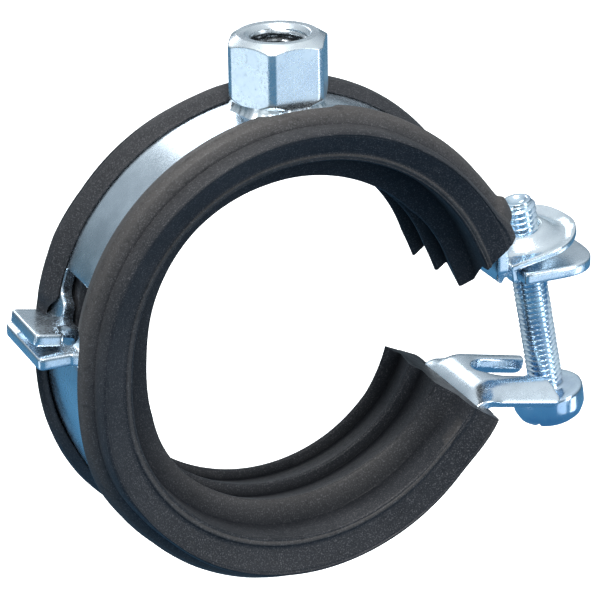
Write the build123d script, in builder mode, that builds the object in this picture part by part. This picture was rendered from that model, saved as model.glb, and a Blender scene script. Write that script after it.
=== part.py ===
from build123d import *
import os
from math import sin, cos, tan, asin, atan2, radians, degrees, sqrt

os.makedirs("parts", exist_ok=True)

# ---------------------------------------------------------------- driving dimensions (mm)
# Frame: X to the screw side, Y along the pipe, Z up to the connection boss.
# The origin is the centre of the upper pipe seat.
seat_r = 27.75            # radius of the rib crests, upper half
strip_t = 2.0             # steel strip thickness
strip_w = 20.0            # steel strip width
upper_r = 36.3            # middle radius of the upper strip
lower_dr = 0.8            # the lower half is bent this much tighter
lower_c = (-1.25, -3.4)   # centre of the lower half, X and Z, clamp open
lower_r = upper_r - lower_dr

# hinge side
hinge_p = (-38.6, 4.6)    # hinge axis, X and Z
hook_z = 3.55              # middle of the hook plate of the upper strip
hook_end = -44.6          # outer edge of the hook plate
hook_bend = 2.4           # middle bend radius
hook_half = 8.3           # half width of the hook plate
window_top = 13.0
window_w = 10.8           # insertion width of the keyhole window
window_slot = 5.8         # running width of the keyhole window
neck_w = 5.0              # T-head neck
head_w = 12.0             # T-head
head_tilt = 10.0          # rise of the T-head, clamp open

# screw side
ear_z = 3.5               # middle of the upper ear
ear_end = 55.4
ear_bend = 2.0
ear_start = 14.0          # angle where the strip leaves the arc
ear_corner = 9.8
neck_half = 5.3           # half width of the neck between bend and ear
neck_x0 = 37.2
neck_x1 = 39.5
ear_hole_x = 44.9
ear_hole_l = 10.0
ear_hole_w = 8.4

fork_q = (34.3, -15.8)   # a point of the fork's middle surface
fork_slope = 12.0         # the fork falls outward, clamp open
fork_bend = 5.0
fork_len = 11.0           # from fork_q to the prong ends, along the slope
fork_slot_w = 7.8
fork_slot_c = 4.6         # centre of the slot's round end, from fork_q
fork_flat = 6.4           # half width of the flat, where the sides fold down
fork_drop = 2.6           # depth of the folded sides

# nut plate and screw
nut_p = (38.8, 4.5)       # swing axis of the nut plate, X and Z
nut_tilt = 10.25
nut_t = 1.2
nut_gap = 0.25             # plate underside above the swing axis
nut_u0 = -1.1             # inner end of the plate
nut_u1 = 14.8             # outer end
nut_half = 8.3
nut_corner = 7.6
leg_t = 1.0
leg_down = 3.0
screw_u = 5.6             # screw axis from the swing axis, along the plate
screw_r = 3.0
nut_bore_r = 3.05
collar_r = 5.6
collar_h = 2.6
screw_tip = 8.6           # tip above the swing axis
screw_seat = 26.4         # bearing face below the swing axis
head_r = 6.4
head_h = 6.0
slot_w = 1.5
slot_d = 1.9

# boss
boss_af = 15.0
boss_z0 = 38.3
boss_z1 = 48.8
boss_corner = 8.35        # radius of the turned-off corners
bore_r = 4.25             # M10 core hole
bore_mouth = 5.2
bore_depth = 9.2
weld_r = 6.6

# lining section: (y, r), r for the upper half
gap = 0.05
lip_y = 5.3
rim_y = 9.3
rim_r = 39.1
shoulder_y = 11.4
shoulder_r = 36.9
face_y = 14.7
face_r = 36.2
inner_y = 12.3
inner_r = 31.6
groove_y = -7.2
groove_r = 31.4
crests = (-4.9, 2.5, 9.8)
notch_r = seat_r + 1.45
land = 0.6
web_r = upper_r - strip_t / 2 - gap      # web, behind the strip
lip_in = upper_r + strip_t / 2 + gap     # underside of the lips
side_y = strip_w / 2 + gap

section = [
    (0, web_r), (-side_y, web_r), (-side_y, lip_in), (-lip_y, lip_in), (-lip_y, lip_in + 0.2),
    (-lip_y - 2.4, rim_r - 0.35), (-rim_y, rim_r), (-rim_y - 0.9, rim_r - 0.35),
    (-shoulder_y, shoulder_r + 0.25), (-shoulder_y - 0.5, shoulder_r), (-face_y + 0.8, face_r + 0.5), (-face_y, face_r - 0.3),
    (-inner_y - 0.3, inner_r + 0.5), (-inner_y + 0.2, inner_r), (groove_y, groove_r),
    (crests[0], seat_r), (crests[0] + land, seat_r), (crests[1] - 1.0, notch_r),
    (crests[1], seat_r), (crests[1] + land, seat_r), (crests[2] - 1.0, notch_r),
    (crests[2], seat_r), (crests[2] + land, seat_r),
    (inner_y - 0.2, inner_r), (inner_y + 0.3, inner_r + 0.5),
    (face_y, face_r - 0.3), (face_y - 0.8, face_r + 0.5), (shoulder_y + 0.5, shoulder_r), (shoulder_y, shoulder_r + 0.25),
    (rim_y + 0.9, rim_r - 0.35), (rim_y, rim_r), (lip_y + 2.4, rim_r - 0.35),
    (lip_y, lip_in + 0.2), (lip_y, lip_in), (side_y, lip_in), (side_y, web_r),
]


def ray_plane(cx, cz, angle):
    """Plane through the Y-parallel axis at (cx, cz); local x is the radius, local y is Y."""
    a = radians(angle)
    return Plane(origin=(cx, 0, cz), x_dir=(cos(a), 0, sin(a)), z_dir=(-sin(a), 0, cos(a)))


def up_axis(cx, cz):
    """Axis that turns X towards Z."""
    return Axis((cx, 0, cz), (0, -1, 0))


# ---------------------------------------------------------------- upper strip
# middle line: hook plate, bend, arc, bend, ear. Both bends lie outside the arc.
hook_cx = -sqrt((upper_r + hook_bend) ** 2 - (hook_z + hook_bend) ** 2)
hook_cz = hook_z + hook_bend
hook_a = atan2(hook_cz, hook_cx)
ear_a = radians(ear_start)
ear_top = (upper_r * cos(ear_a), upper_r * sin(ear_a))
ear_cx = ear_top[0] + ear_bend
ear_cz = ear_z + ear_bend

with BuildPart() as upper_band:
    with BuildSketch(Plane.XZ):
        with BuildLine() as upper_line:
            Line((hook_end, hook_z), (hook_cx, hook_z))
            CenterArc((hook_cx, hook_cz), hook_bend, -90, degrees(hook_a) - 90)
            CenterArc((0, 0), upper_r, degrees(ear_a), degrees(hook_a) - degrees(ear_a))
            Line(ear_top, (ear_top[0], ear_cz))
            CenterArc((ear_cx, ear_cz), ear_bend, 180, 90)
            Line((ear_cx, ear_z), (ear_end, ear_z))
        trace(line_width=strip_t)
    extrude(amount=strip_w / 2, both=True)
    # round outer end of the ear
    fillet(upper_band.edges().filter_by(Axis.Z).group_by(Axis.X)[-1], radius=ear_corner)
    # small corner rounds on the hook plate
    fillet(upper_band.edges().filter_by(Axis.Z).group_by(Axis.X)[0], radius=1.2)
    # the hook plate is narrower than the strip
    with BuildSketch(Plane.XY.offset(1)):
        for side in (-1, 1):
            with Locations((-42.6, side * (hook_half + 5))):
                Rectangle(10, 10)
    extrude(amount=5, mode=Mode.SUBTRACT)
    # neck: both edges are notched between the bend and the ear
    with BuildSketch(Plane.XY.offset(-1)):
        with BuildLine() as notch:
            ThreePointArc((33.6, -strip_w / 2 - 0.2), (35.9, -8.4), (neck_x0, -neck_half))
            Polyline((neck_x0, -neck_half), (neck_x1, -neck_half), (neck_x1, -strip_w / 2 - 0.2), (33.6, -strip_w / 2 - 0.2))
        make_face()
        mirror(about=Plane.XZ)
    extrude(amount=10, mode=Mode.SUBTRACT)
    # clearance hole of the screw, long enough for its swing
    with BuildSketch(Plane.XY):
        with Locations((ear_hole_x, 0)):
            SlotOverall(ear_hole_l, ear_hole_w)
    extrude(amount=8, mode=Mode.SUBTRACT)
    # keyhole window for the T-head
    with BuildSketch(Plane.YZ.offset(-38.7)):
        with BuildLine():
            w, s = window_w / 2, window_slot / 2
            Polyline((-w, window_top), (w, window_top), (w, 10.0), (w - 0.6, 9.2), (s, 8.0), (s, 1.6),
                     (-s, 1.6), (-s, 8.0), (-w + 0.6, 9.2), (-w, 10.0), (-w, window_top))
        make_face()
    extrude(amount=8, mode=Mode.SUBTRACT)
upper_band.part.label = "upper_band"
export_step(upper_band.part, "parts/upper_band.step")

# ---------------------------------------------------------------- lower strip
cx, cz = lower_c
sl = radians(fork_slope)
d = (cos(sl), -sin(sl))                      # outward along the fork
n = (sin(sl), cos(sl))                       # up from the fork
# bend centre at the fork: on the line one bend radius below the middle surface
qx, qz = fork_q[0] - fork_bend * n[0], fork_q[1] - fork_bend * n[1]
bx, bz = qx - cx, qz - cz
bb = bx * d[0] + bz * d[1]
cc = bx * bx + bz * bz - (lower_r + fork_bend) ** 2
t_f = -bb + sqrt(bb * bb - cc)
fork_cx, fork_cz = qx + t_f * d[0], qz + t_f * d[1]
fork_a = degrees(atan2(fork_cz - cz, fork_cx - cx))
fork_s = (fork_cx + fork_bend * n[0], fork_cz + fork_bend * n[1])
# hinge side: straight neck along the tangent, then the T-head
neck_a = 180 - degrees(asin((2.3 - cz) / lower_r))
na = radians(neck_a)
neck_b = (cx + lower_r * cos(na), cz + lower_r * sin(na))
neck_d = (sin(na), -cos(na))
ht = radians(head_tilt)
head_d = (-cos(ht), sin(ht))                 # outward along the T-head
head_n = (-sin(ht), -cos(ht))                # towards the hook plate
# middle surface of the T-head stands clear of the hinge axis
off = strip_t / 2 + 0.15
hp = (hinge_p[0] - off * head_n[0], hinge_p[1] - off * head_n[1])
# corner of neck line and head line
den = neck_d[0] * head_d[1] - neck_d[1] * head_d[0]
tt = ((hp[0] - neck_b[0]) * head_d[1] - (hp[1] - neck_b[1]) * head_d[0]) / den
corner = (neck_b[0] + tt * neck_d[0], neck_b[1] + tt * neck_d[1])
head_end = (corner[0] + 8.7 * head_d[0], corner[1] + 8.7 * head_d[1])

with BuildPart() as lower_band:
    # arc with its bend towards the fork
    with BuildSketch(Plane.XZ):
        with BuildLine():
            CenterArc((cx, cz), lower_r, neck_a, fork_a + 360 - neck_a)
            CenterArc((fork_cx, fork_cz), fork_bend, fork_a + 180, -(fork_a + 180 - (90 - fork_slope)))
        trace(line_width=strip_t)
    extrude(amount=strip_w / 2, both=True)
    # fork: a flat with both sides folded down
    fork_plane = Plane(origin=(fork_s[0], 0, fork_s[1]), x_dir=(0, 1, 0), z_dir=(d[0], 0, d[1]))
    fork_run = fork_len + 3.5 - ((fork_s[0] - fork_q[0]) * d[0] + (fork_s[1] - fork_q[1]) * d[1])
    h = strip_t / 2
    k = strip_t * tan(radians(22.5))
    m = strip_t * cos(radians(45))
    e = fork_flat + fork_drop
    with BuildSketch(fork_plane.offset(3.2)) as folded_end:
        with BuildLine():
            Polyline((-fork_flat, h), (fork_flat, h), (e, h - fork_drop), (e - m, h - fork_drop - m),
                     (fork_flat - k, -h), (-fork_flat + k, -h), (-e + m, h - fork_drop - m), (-e, h - fork_drop), (-fork_flat, h))
        make_face()
    extrude(amount=fork_run - 3.2)
with BuildPart() as fork_blend:
    # ruled change from the flat strip to the folded section
    with BuildSketch(fork_plane.offset(-0.01)):
        with BuildLine():
            Polyline((-fork_flat, h), (fork_flat, h), (strip_w / 2, h), (strip_w / 2, -h),
                     (fork_flat - k, -h), (-fork_flat + k, -h), (-strip_w / 2, -h), (-strip_w / 2, h), (-fork_flat, h))
        make_face()
    with BuildSketch(fork_plane.offset(3.2)):
        with BuildLine():
            Polyline((-fork_flat, h), (fork_flat, h), (e, h - fork_drop), (e - m, h - fork_drop - m),
                     (fork_flat - k, -h), (-fork_flat + k, -h), (-e + m, h - fork_drop - m), (-e, h - fork_drop), (-fork_flat, h))
        make_face()
    loft(ruled=True)
with BuildPart() as t_head:
    # neck and T-head, bent over the hook plate
    with BuildSketch(Plane.XZ):
        with BuildLine():
            FilletPolyline((neck_b[0] - 1.0 * neck_d[0], neck_b[1] - 1.0 * neck_d[1]), corner, head_end, radius=1.35)
        trace(line_width=strip_t)
    extrude(amount=head_w / 2, both=True)
    # narrow neck up to the wide head
    with BuildSketch(Plane.XY.offset(-6)):
        with Locations((-34.0 - 2.8, 0)):
            Rectangle(5.6, head_w + 2)
            Rectangle(5.6, neck_w, mode=Mode.SUBTRACT)
    extrude(amount=20, mode=Mode.SUBTRACT)
with BuildPart() as lower_whole:
    add(lower_band.part)
    add(fork_blend.part)
    add(t_head.part)
    # slanted prong ends
    def fork_pt(u, v):
        return (fork_q[0] + u * d[0] + v * n[0], fork_q[1] + u * d[1] + v * n[1])
    with BuildSketch(Plane.XZ):
        with BuildLine():
            Polyline(fork_pt(fork_len - 0.7, 2), fork_pt(fork_len, 1), fork_pt(fork_len + 3.0, -3.2), fork_pt(fork_len + 9, -3.2), fork_pt(fork_len + 9, 2), close=True)
        make_face()
    extrude(amount=20, both=True, mode=Mode.SUBTRACT)
    # open slot of the fork
    with BuildSketch(Plane(origin=(fork_q[0], 0, fork_q[1]), x_dir=(d[0], 0, d[1]), z_dir=(n[0], 0, n[1])).offset(-6)):
        with Locations((fork_slot_c, 0)):
            Circle(fork_slot_w / 2)
        with Locations((fork_slot_c + 10, 0)):
            Rectangle(20, fork_slot_w)
    extrude(amount=12, mode=Mode.SUBTRACT)
lower_whole.part.label = "lower_band"
export_step(lower_whole.part, "parts/lower_band.step")

# ---------------------------------------------------------------- connection boss
with BuildPart() as connection_boss:
    with BuildSketch(Plane.XY.offset(boss_z0)):
        RegularPolygon(radius=boss_af / 2, side_count=6, major_radius=False, rotation=0)
    extrude(amount=boss_z1 - boss_z0)
    # turned corners and chamfered top
    with BuildSketch(Plane.XZ):
        with BuildLine():
            Polyline((0, boss_z0 - 3), (boss_corner - 0.5, boss_z0 - 3), (boss_corner - 0.5, boss_z0), (boss_corner, boss_z0 + 0.6), (boss_corner, boss_z1 - 1.3),
                     (boss_af / 2 - 0.9, boss_z1), (0, boss_z1), (0, boss_z0 - 3))
        make_face()
    revolve(axis=Axis.Z, mode=Mode.INTERSECT)
    # weld foot, trimmed to the crown of the strip
    with BuildSketch(Plane.XY.offset(34)):
        Circle(weld_r)
    extrude(amount=boss_z0 - 34 + 0.5)
    with BuildSketch(Plane.XZ):
        Circle(upper_r + strip_t / 2)
    extrude(amount=20, both=True, mode=Mode.SUBTRACT)
    # core hole with a countersunk mouth
    with BuildSketch(Plane.XZ):
        with BuildLine():
            zb = boss_z1 - bore_depth
            Polyline((0, zb - 1.2), (bore_r, zb), (bore_r, boss_z1 - (bore_mouth - bore_r)), (bore_mouth, boss_z1), (bore_mouth, boss_z1 + 1), (0, boss_z1 + 1), (0, zb - 1.2))
        make_face()
    revolve(axis=Axis.Z, mode=Mode.SUBTRACT)
connection_boss.part.label = "connection_boss"
export_step(connection_boss.part, "parts/connection_boss.step")

# ---------------------------------------------------------------- lining, upper half
with BuildPart() as lining_upper:
    with BuildSketch(ray_plane(0, 0, 0)):
        with BuildLine():
            Polyline(*[(r, y) for y, r in section], close=True)
        make_face()
    revolve(axis=up_axis(0, 0), revolution_arc=174)
    # slanted end on the screw side
    with BuildSketch(Plane.XZ):
        with BuildLine():
            Polyline((27.3, 3.2), (35.6, 11.4), (44, 11.4), (44, -4), (20, -4), (27.3, 3.2), close=False)
        make_face()
    extrude(amount=20, both=True, mode=Mode.SUBTRACT)
    # the lips part around the boss
    with BuildSketch(Plane.XY.offset(36.4)):
        Circle(boss_corner + 0.15)
    extrude(amount=6, mode=Mode.SUBTRACT)
    # end at the hinge
    with BuildSketch(Plane.XZ):
        with Locations((-35, -5.7)):
            Rectangle(30, 20)
    extrude(amount=20, both=True, mode=Mode.SUBTRACT)
    # the lips stop above the hook plate
    with BuildSketch(Plane.XZ):
        with Locations((-40, 3.4)):
            Rectangle(9.4, 7.4)
    extrude(amount=10.3, both=True, mode=Mode.SUBTRACT)
    # pocket behind the T-head neck
    with BuildSketch(Plane.XZ):
        with Locations((-36, 4.0)):
            Rectangle(6.4, 12.4)
    extrude(amount=7.3, both=True, mode=Mode.SUBTRACT)
lining_upper.part.label = "lining_upper"
export_step(lining_upper.part, "parts/lining_upper.step")

# ---------------------------------------------------------------- lining, lower half
co, so = cos(ht), sin(ht)
# end line at the hinge: 1.7 below the hinge axis, falling inward while the clamp is open
g0 = (hinge_p[0] - 1.7 * so, hinge_p[1] - 1.7 * co)
with BuildPart() as lining_lower:
    with BuildSketch(ray_plane(cx, cz, -10)):
        with BuildLine():
            Polyline(*[(r - lower_dr, y) for y, r in section], close=True)
        make_face()
    revolve(axis=Axis((cx, 0, cz), (0, 1, 0)), revolution_arc=182)
    # end on the screw side
    with BuildSketch(Plane.XZ):
        with BuildLine():
            Polyline((23.8 - 3.44, -13.3 + 2.05), (33.7 + 6.88, -19.2 - 4.1), (48, 0), (10, 6), close=True)
        make_face()
    extrude(amount=20, both=True, mode=Mode.SUBTRACT)
    # end at the hinge
    with BuildSketch(Plane.XZ):
        with BuildLine():
            Polyline((g0[0] - 8 * co, g0[1] + 8 * so), (g0[0] + 22 * co, g0[1] - 22 * so), (-14, 16), (-46, 16), close=True)
        make_face()
    extrude(amount=20, both=True, mode=Mode.SUBTRACT)
    # the last of the ribs is trimmed to the seat radius
    with BuildSketch(Plane.XZ):
        Circle(seat_r)
    extrude(amount=20, both=True, mode=Mode.SUBTRACT)
    # the lips end where the strip bends out to the fork
    with BuildSketch(Plane(origin=(cx, 0, cz), x_dir=(cos(radians(-24)), 0, sin(radians(-24))), z_dir=(0, -1, 0))):
        with Locations((lower_r - 1.3 + 5, 0)):
            Rectangle(10, 5.0)
    extrude(amount=10.1, both=True, mode=Mode.SUBTRACT)
    # the lips stop below the hook plate
    with BuildSketch(Plane.XZ):
        with Locations((-41, 6.2)):
            Rectangle(11.6, 10)
    extrude(amount=10.3, both=True, mode=Mode.SUBTRACT)
lining_lower.part.label = "lining_lower"
export_step(lining_lower.part, "parts/lining_lower.step")

# ---------------------------------------------------------------- nut plate
nt = radians(nut_tilt)
nut_plane = Plane(origin=(nut_p[0], 0, nut_p[1]), x_dir=(cos(nt), 0, sin(nt)), z_dir=(-sin(nt), 0, cos(nt)))
with BuildPart() as nut_plate:
    with BuildSketch(nut_plane.offset(nut_gap)) as outline:
        with Locations(((nut_u0 + nut_u1) / 2, 0)):
            Rectangle(nut_u1 - nut_u0, 2 * nut_half)
        fillet(outline.vertices().sort_by(Axis.X)[-2:], radius=nut_corner)
    extrude(amount=nut_t)
    # drawn collar
    with BuildSketch(nut_plane.offset(nut_gap + nut_t)):
        with Locations((screw_u, 0)):
            Circle(collar_r)
    extrude(amount=collar_h, taper=22)
    # legs beside the neck of the ear
    with BuildSketch(nut_plane.offset(nut_gap + nut_t)):
        for side in (-1, 1):
            with Locations((nut_u0 + leg_t / 2, side * (nut_half + 5.9) / 2)):
                Rectangle(leg_t, nut_half - 5.9)
    extrude(amount=-(nut_t + nut_gap + leg_down))
    # threaded hole, at thread diameter
    with BuildSketch(nut_plane.offset(-2)):
        with Locations((screw_u, 0)):
            Circle(nut_bore_r)
    extrude(amount=10, mode=Mode.SUBTRACT)
nut_plate.part.label = "nut_plate"
export_step(nut_plate.part, "parts/nut_plate.step")

# ---------------------------------------------------------------- locking screw
screw_o = (nut_p[0] + screw_u * cos(nt), nut_p[1] + screw_u * sin(nt))
screw_plane = Plane(origin=(screw_o[0], 0, screw_o[1]), x_dir=(cos(nt), 0, sin(nt)), z_dir=(0, -1, 0))
screw_axis = Axis((screw_o[0], 0, screw_o[1]), (-sin(nt), 0, cos(nt)))
with BuildPart() as locking_screw:
    # half section: local x is the radius, local y is the screw axis
    with BuildSketch(screw_plane):
        with BuildLine():
            Line((0, screw_tip - 0.7), (1.3, screw_tip))
            Line((1.3, screw_tip), (screw_r - 0.6, screw_tip))
            Line((screw_r - 0.6, screw_tip), (screw_r, screw_tip - 0.7))
            Line((screw_r, screw_tip - 0.7), (screw_r, -screw_seat))
            Line((screw_r, -screw_seat), (head_r - 0.7, -screw_seat))
            Line((head_r - 0.7, -screw_seat), (head_r, -screw_seat - 0.8))
            Line((head_r, -screw_seat - 0.8), (head_r - 0.1, -screw_seat - 2.9))
            ThreePointArc((head_r - 0.1, -screw_seat - 2.9), (head_r - 1.8, -screw_seat - 4.95), (0, -screw_seat - head_h))
            Line((0, -screw_seat - head_h), (0, screw_tip - 0.7))
        make_face()
    revolve(axis=screw_axis)
    # driving slot across the head
    with BuildSketch(Plane(origin=(screw_o[0] + sin(nt) * (screw_seat + head_h + 0.5), 0, screw_o[1] - cos(nt) * (screw_seat + head_h + 0.5)),
                           x_dir=(cos(nt), 0, sin(nt)), z_dir=(-sin(nt), 0, cos(nt)))):
        Rectangle(14, slot_w, rotation=35)
        Rectangle(6.6, slot_w, rotation=125)
    extrude(amount=slot_d + 0.5, mode=Mode.SUBTRACT)
locking_screw.part.label = "locking_screw"
export_step(locking_screw.part, "parts/locking_screw.step")

print("hinge axis", hinge_p, "swing axis", nut_p, "screw axis point", screw_o)
print("bend centres", (hook_cx, hook_cz), (ear_cx, ear_cz), (fork_cx, fork_cz))
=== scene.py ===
import math
import bpy
import numpy as np
from mathutils import Vector, Matrix
from mathutils.geometry import delaunay_2d_cdt


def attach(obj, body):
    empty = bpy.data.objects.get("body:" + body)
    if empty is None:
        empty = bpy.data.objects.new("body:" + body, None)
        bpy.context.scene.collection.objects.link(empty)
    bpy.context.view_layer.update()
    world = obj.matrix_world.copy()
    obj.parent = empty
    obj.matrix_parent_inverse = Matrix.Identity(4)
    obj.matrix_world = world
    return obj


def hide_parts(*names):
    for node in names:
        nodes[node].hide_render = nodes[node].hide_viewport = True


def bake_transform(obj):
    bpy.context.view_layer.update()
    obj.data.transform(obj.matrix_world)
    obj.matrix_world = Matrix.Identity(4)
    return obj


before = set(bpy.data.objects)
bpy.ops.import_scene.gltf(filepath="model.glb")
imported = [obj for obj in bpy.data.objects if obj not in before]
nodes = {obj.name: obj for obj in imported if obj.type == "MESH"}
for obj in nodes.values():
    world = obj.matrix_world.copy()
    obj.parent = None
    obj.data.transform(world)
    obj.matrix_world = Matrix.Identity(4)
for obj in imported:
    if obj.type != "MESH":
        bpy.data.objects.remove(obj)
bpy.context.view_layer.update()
MM = 0.001
rng = np.random.default_rng(7)


# ------------------------------------------------------------------ helpers
def smooth(a, b, x):
    t = np.clip((np.asarray(x, float) - a) / (b - a), 0, 1)
    return t * t * (3 - 2 * t)


def make(name, verts, faces, mat, angle=40, merge=None):
    me = bpy.data.meshes.new(name)
    me.from_pydata([tuple(map(float, v)) for v in np.asarray(verts) * MM], [], faces)
    me.validate()
    ob = bpy.data.objects.new(name, me)
    bpy.context.scene.collection.objects.link(ob)
    import bmesh
    bm = bmesh.new()
    bm.from_mesh(me)
    bmesh.ops.remove_doubles(bm, verts=bm.verts, dist=(merge or 0.002) * MM)
    bmesh.ops.dissolve_degenerate(bm, dist=0.0005 * MM, edges=bm.edges)
    bmesh.ops.recalc_face_normals(bm, faces=bm.faces)
    lim = math.radians(angle)
    for e in bm.edges:
        if len(e.link_faces) == 2:
            e.smooth = e.calc_face_angle(0) < lim
        else:
            e.smooth = False
    for f in bm.faces:
        f.smooth = True
    bm.to_mesh(me)
    bm.free()
    me.materials.append(mat)
    return ob


def grid_faces(n, m, close_n=False, close_m=False, base=0):
    """Quads of an n by m grid of vertices, row-major."""
    out = []
    for i in range(n if close_n else n - 1):
        for j in range(m if close_m else m - 1):
            a = i * m + j
            b = i * m + (j + 1) % m
            c = ((i + 1) % n) * m + (j + 1) % m
            d = ((i + 1) % n) * m + j
            out.append((base + a, base + b, base + c, base + d))
    return out


def round_poly(pts, radii, seg=5, same_count=False):
    """Closed polygon with rounded corners; same_count gives every corner seg + 1 points, even a straight one."""
    out = []
    n = len(pts)
    P = [np.array(p, float) for p in pts]
    for i in range(n):
        p, a, b = P[i], P[i - 1], P[(i + 1) % n]
        r = radii[i] if hasattr(radii, "__len__") else radii
        u, v = a - p, b - p
        lu, lv = np.linalg.norm(u), np.linalg.norm(v)
        u, v = u / lu, v / lv
        c = float(np.clip(u @ v, -1, 1))
        ang = math.acos(c)
        if r <= 1e-6 or ang > math.radians(176):
            if same_count:
                d = min(0.02, 0.2 * lu, 0.2 * lv)
                out += [p + (u if k < seg / 2 else v) * d * abs(1 - 2 * k / seg) for k in range(seg + 1)]
            else:
                out.append(p)
            continue
        t = r / math.tan(ang / 2)
        t = min(t, 0.45 * lu, 0.45 * lv)
        rr = t * math.tan(ang / 2)
        bis = (u + v) / np.linalg.norm(u + v)
        cen = p + bis * rr / math.sin(ang / 2)
        s, e = p + u * t - cen, p + v * t - cen
        a0 = math.atan2(s[1], s[0])
        a1 = math.atan2(e[1], e[0])
        while a1 - a0 > math.pi:
            a1 -= 2 * math.pi
        while a1 - a0 < -math.pi:
            a1 += 2 * math.pi
        for k in range(seg + 1):
            q = a0 + (a1 - a0) * k / seg
            out.append(cen + rr * np.array([math.cos(q), math.sin(q)]))
    return np.array(out)


def resample(poly, step, closed=True):
    """Adds points so that no stretch is longer than step; keeps the corners."""
    out = []
    n = len(poly)
    for i in range(n if closed else n - 1):
        a, b = np.array(poly[i], float), np.array(poly[(i + 1) % n], float)
        k = max(1, int(math.ceil(np.linalg.norm(b - a) / step)))
        for j in range(k):
            out.append(a + (b - a) * j / k)
    if not closed:
        out.append(np.array(poly[-1], float))
    return np.array(out)


def circle(cx, cy, r, n=64):
    t = np.linspace(0, 2 * np.pi, n, endpoint=False)
    return np.stack([cx + r * np.cos(t), cy + r * np.sin(t)], -1)


def area2(p):
    x, y = p[:, 0], p[:, 1]
    return 0.5 * float(np.sum(x * np.roll(y, -1) - np.roll(x, -1) * y))


def inset(poly, d, outward_is_left=False):
    """Moves each point of a closed polygon along its own normal, to the left of its direction."""
    nx = np.roll(poly, -1, 0) - poly
    pv = poly - np.roll(poly, 1, 0)
    nx /= np.linalg.norm(nx, axis=1)[:, None] + 1e-12
    pv /= np.linalg.norm(pv, axis=1)[:, None] + 1e-12
    n1 = np.stack([-nx[:, 1], nx[:, 0]], -1)
    n0 = np.stack([-pv[:, 1], pv[:, 0]], -1)
    b = n0 + n1
    b /= np.linalg.norm(b, axis=1)[:, None] + 1e-12
    k = np.clip((b * n1).sum(1), 0.35, 1)
    return poly + b * (d / k)[:, None]


def inside(P, poly):
    x, y = P[:, 0][:, None], P[:, 1][:, None]
    a, b = poly, np.roll(poly, -1, 0)
    c = ((a[:, 1] > y) != (b[:, 1] > y)) & (x < (b[:, 0] - a[:, 0]) * (y - a[:, 1]) / (b[:, 1] - a[:, 1] + 1e-15) + a[:, 0])
    return c.sum(1) % 2 == 1


def plate(outer, holes, fmap, t, edge=0.3, step=0.8, points=None, edge_in=None):
    """Sheet-metal piece: flat pattern (s, y) with holes, thickness t, rounded cut edges, mapped by fmap(s, y, w) to space."""
    h = t / 2
    loops = [resample(outer, step)] + [resample(o, min(step, 0.6)) for o in holes]
    if area2(loops[0]) < 0:
        loops[0] = loops[0][::-1]
    for i in range(1, len(loops)):
        if area2(loops[i]) > 0:
            loops[i] = loops[i][::-1]
    # rows from the flat of one side round the cut edge to the other
    rows = [(edge, h), (edge * 0.55, h - edge * 0.12), (edge * 0.22, h - edge * 0.38), (0.02 * edge, h - edge * 0.8),
            (0, 0.3 * h), (0, -0.3 * h),
            (0.02 * edge, -h + edge * 0.8), (edge * 0.22, -h + edge * 0.38), (edge * 0.55, -h + edge * 0.12), (edge, -h)]
    ins = [inset(l, edge) for l in loops]
    x0, y0 = loops[0].min(0)
    x1, y1 = loops[0].max(0)
    gx = np.arange(x0 + step / 2, x1, step)
    gy = np.arange(y0 + step / 2, y1, step)
    X, Y = np.meshgrid(gx, gy)
    X = X + (np.arange(len(gy)) % 2)[:, None] * step * 0.5
    G = np.stack([X.ravel(), Y.ravel()], -1)
    if points is not None:
        G = np.concatenate([np.asarray(points, float), G])
    keep = inside(G, ins[0])
    for l in ins[1:]:
        keep &= ~inside(G, l)
    G = G[keep]
    allb = np.concatenate(ins)
    near = np.zeros(len(G), bool)
    for i in range(0, len(G), 400):
        d2 = ((G[i:i + 400, None] - allb[None]) ** 2).sum(-1).min(1)
        near[i:i + 400] = d2 < (0.42 * step) ** 2
    G = G[~near]
    vin, ein, k = [], [], 0
    for l in ins:
        vin += [Vector(p) for p in l]
        ein += [(k + i, k + (i + 1) % len(l)) for i in range(len(l))]
        k += len(l)
    nb = k
    vin += [Vector(p) for p in G]
    vo, eo, fo, ov, oe, of = delaunay_2d_cdt(vin, ein, [], 0, 1e-7)
    V2 = np.array([tuple(v) for v in vo])
    cen = np.array([V2[list(f)].mean(0) for f in fo])
    ok = inside(cen, ins[0])
    for l in ins[1:]:
        ok &= ~inside(cen, l)
    tri = [tuple(f) for f, o in zip(fo, ok) if o]
    back = {}
    for new, olds in enumerate(ov):
        for o in olds:
            back[o] = new
    verts = []
    faces = []
    n2 = len(V2)
    verts += [fmap(p[0], p[1], h) for p in V2]
    faces += tri
    verts += [fmap(p[0], p[1], -h) for p in V2]
    faces += [tuple(n2 + i for i in reversed(f)) for f in tri]
    k = 0
    for l in loops:
        n = len(l)
        prev = [back[k + i] for i in range(n)]
        for j, (d, w) in enumerate(rows[1:]):
            if j == len(rows) - 2:
                cur = [n2 + back[k + i] for i in range(n)]
            else:
                q = inset(l, d)
                cur = list(range(len(verts), len(verts) + n))
                verts += [fmap(p[0], p[1], w) for p in q]
            for i in range(n):
                a, b = i, (i + 1) % n
                faces.append((prev[a], cur[a], cur[b], prev[b]))
            prev = cur
        k += n
    return np.array(verts, float), faces


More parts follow.
